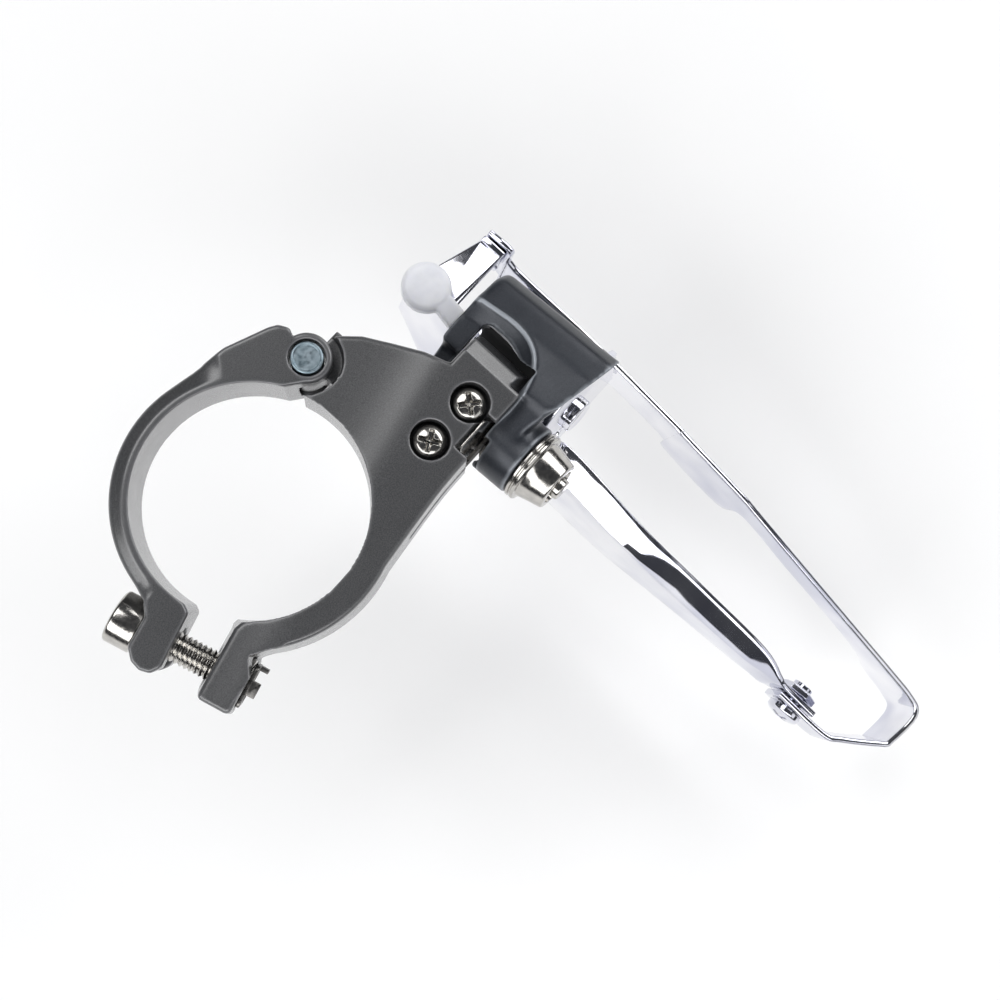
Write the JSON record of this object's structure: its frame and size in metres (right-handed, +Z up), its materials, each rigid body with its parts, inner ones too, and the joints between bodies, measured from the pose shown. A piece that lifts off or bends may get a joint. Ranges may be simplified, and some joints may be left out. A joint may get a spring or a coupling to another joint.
{
  "type": "bicycle front derailleur",
  "caption": "Front derailleur: a hinged band clamp, a cast bracket with limit screws, a parallelogram of two links with a return spring, and a long curved chrome chain cage.",
  "frame": {"origin": "centre of the seat-tube clamp's bore, at mid-height of the band", "axes": "+Z up along the seat tube, +X outboard (to the rider's right), +Y forward; the cage's tail points to -Y"},
  "size_m": [0.0905, 0.1383, 0.0617],
  "materials": {
    "cast_paint": "dark gunmetal metallic paint, slightly textured",
    "link_paint": "dark blue-grey satin metallic paint",
    "chrome": "bright chrome plate",
    "bright_steel": "polished nickel-like steel",
    "zinc_steel": "zinc plated steel, blue-grey",
    "dark_steel": "dark plated spring steel",
    "nylon": "milky nylon",
    "bearing_plastic": "dark bearing plastic"
  },
  "bodies": {
    "bracket_body": {"bracket": "cast_paint", "hinge_pin": "zinc_steel", "clamp_nut": "bright_steel", "nut_clip": "dark_steel", "screw_grip": "nylon", "pivot_pin_a_front": "bright_steel", "pivot_pin_a_rear": "bright_steel", "pivot_pin_b": "bright_steel", "spring_cap": "bright_steel", "thrust_plate": "bright_steel", "return_spring": "dark_steel"},
    "band_body": {"clamp_band": "cast_paint"},
    "clamp_bolt_body": {"clamp_bolt": "bright_steel"},
    "high_screw_body": {"limit_screw_high": "bright_steel"},
    "low_screw_body": {"limit_screw_low": "bright_steel"},
    "outer_link_body": {"outer_link": "link_paint", "front_link_bush": "bearing_plastic", "rear_link_bush": "bearing_plastic"},
    "inner_link_body": {"inner_link": "dark_steel", "cable_plate": "zinc_steel"},
    "cable_bolt_body": {"cable_bolt": "zinc_steel"},
    "cage_body": {"cage_outer_plate": "chrome", "cage_inner_plate": "chrome", "cage_yoke": "chrome", "pivot_pin_c": "chrome", "pivot_pin_d": "bright_steel", "front_bridge_rivet": "chrome", "tail_screw": "chrome", "tail_nut": "chrome"},
    "block_body": {"alignment_block": "nylon"}
  },
  "joints": [
    {"name": "outer_link_swing", "type": "hinge", "parent": "bracket_body", "child": "outer_link_body", "pos_m": [0.0334, -0.016, -0.00545], "axis": [0, -0.9781, 0.2079], "range_deg": [-42, 4], "stiffness_Nm_per_rad": 0.4, "deforming": ["return_spring"]},
    {"name": "inner_link_swing", "type": "hinge", "parent": "bracket_body", "child": "inner_link_body", "pos_m": [0.02835, -0.01631, -0.00691], "axis": [0, -0.9781, 0.2079], "range_deg": [-42, 4]},
    {"name": "cage_swing", "type": "hinge", "parent": "outer_link_body", "child": "cage_body", "pos_m": [0.0477, -0.01902, -0.01963], "axis": [0, -0.9781, 0.2079], "range_deg": [-4, 42]},
    {"name": "band_hinge", "type": "hinge", "parent": "bracket_body", "child": "band_body", "pos_m": [0.02106, 0.0084, 0], "axis": [0, 0, -1], "range_deg": [0, 65]},
    {"name": "clamp_bolt_turn", "type": "hinge", "parent": "band_body", "child": "clamp_bolt_body", "pos_m": [-0.0244, -0.0005, 0], "axis": [0.23, -0.9732, 0], "continuous": true},
    {"name": "high_screw_turn", "type": "hinge", "parent": "bracket_body", "child": "high_screw_body", "pos_m": [0.03245, -0.01383, 0.003], "axis": [0, 0, 1], "continuous": true},
    {"name": "low_screw_turn", "type": "hinge", "parent": "bracket_body", "child": "low_screw_body", "pos_m": [0.02425, -0.01313, 0.003], "axis": [0, 0, 1], "continuous": true},
    {"name": "cable_bolt_turn", "type": "hinge", "parent": "inner_link_body", "child": "cable_bolt_body", "pos_m": [0.0269, -0.0186, -0.01767], "axis": [0, -0.9781, 0.2079], "continuous": true},
    {"name": "block_pull_off", "type": "slide", "parent": "cage_body", "child": "block_body", "axis": [0, 1, 0], "range_m": [0, 0.012]}
  ],
  "couplings": [
    {"joint": "inner_link_swing", "follows": "outer_link_swing", "ratio": 1},
    {"joint": "cage_swing", "follows": "outer_link_swing", "ratio": -1}
  ]
}
